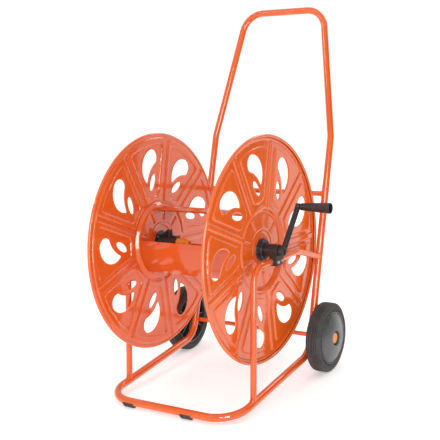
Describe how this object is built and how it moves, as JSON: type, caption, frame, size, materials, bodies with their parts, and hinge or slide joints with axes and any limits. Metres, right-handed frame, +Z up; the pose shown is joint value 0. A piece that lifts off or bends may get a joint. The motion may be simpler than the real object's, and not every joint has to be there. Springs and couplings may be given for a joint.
{
  "type": "garden hose reel cart",
  "caption": "Two-wheeled bent-tube cart with a hand-cranked reel of two pressed discs on a sheet drum, for winding and moving a garden hose.",
  "frame": {"origin": "on the floor under the centre of the whole cart's bounding box", "axes": "+Z up, -Y to the front bar, +Y to the handle, +X to the crank side, along the reel's axis and the axle"},
  "size_m": [0.557, 0.7542, 0.9646],
  "materials": {
    "painted_tube": "glossy orange powder coat",
    "painted_sheet": "glossy orange powder coat on pressed sheet",
    "zinc_steel": "bright zinc plating",
    "black_plastic": "satin moulded",
    "foot_rubber": "matt ribbed",
    "seal_rubber": "smooth",
    "orange_plastic": "semi gloss moulded",
    "tyre_rubber": "matt",
    "wheel_plastic": "glossy dark grey",
    "brass": "machined"
  },
  "bodies": {
    "cart": {"base_tube": "painted_tube", "handle_hoop": "painted_tube", "handle_screws": "zinc_steel", "left_support_tube": "painted_tube", "right_support_tube": "painted_tube", "cross_tube": "painted_tube", "axle_rod": "painted_tube", "left_foot_clip": "foot_rubber", "right_foot_clip": "foot_rubber", "left_bearing": "black_plastic", "right_bearing": "black_plastic", "left_bearing_screws": "zinc_steel", "right_bearing_screws": "zinc_steel", "left_axle_cap": "orange_plastic", "right_axle_cap": "orange_plastic", "left_axle_washer": "zinc_steel", "right_axle_washer": "zinc_steel"},
    "reel": {"left_disc": "painted_sheet", "right_disc": "painted_sheet", "drum_shell_1": "painted_sheet", "drum_shell_2": "painted_sheet", "drum_shell_3": "painted_sheet", "left_drum_rivets": "painted_sheet", "right_drum_rivets": "painted_sheet", "crank_hub": "black_plastic", "crank_hub_screws": "zinc_steel", "inlet_hub": "black_plastic", "inlet_hub_screws": "zinc_steel", "journal_seals": "seal_rubber", "outlet_elbow": "black_plastic", "hose_connector": "orange_plastic", "crank_arm": "black_plastic", "crank_screw": "zinc_steel", "grip_pin": "zinc_steel"},
    "grip": {"crank_grip": "black_plastic"},
    "inlet": {"inlet_elbow": "black_plastic", "inlet_nipple": "brass"},
    "left_wheel": {"left_tyre": "tyre_rubber", "left_wheel_disc": "wheel_plastic"},
    "right_wheel": {"right_tyre": "tyre_rubber", "right_wheel_disc": "wheel_plastic"}
  },
  "joints": [
    {"name": "reel_spin", "type": "hinge", "parent": "cart", "child": "reel", "pos_m": [-0.0245, -0.0921, 0.3728], "axis": [1, 0, 0], "continuous": true},
    {"name": "grip_spin", "type": "hinge", "parent": "reel", "child": "grip", "pos_m": [0.2375, -0.00578, 0.46867], "axis": [1, 0, 0], "continuous": true},
    {"name": "inlet_swivel", "type": "hinge", "parent": "cart", "child": "inlet", "pos_m": [-0.2395, -0.0921, 0.3728], "axis": [1, 0, 0], "continuous": true},
    {"name": "left_wheel_spin", "type": "hinge", "parent": "cart", "child": "left_wheel", "pos_m": [-0.2485, 0.1111, 0.0928], "axis": [1, 0, 0], "continuous": true},
    {"name": "right_wheel_spin", "type": "hinge", "parent": "cart", "child": "right_wheel", "pos_m": [0.1995, 0.1111, 0.0928], "axis": [1, 0, 0], "continuous": true}
  ]
}
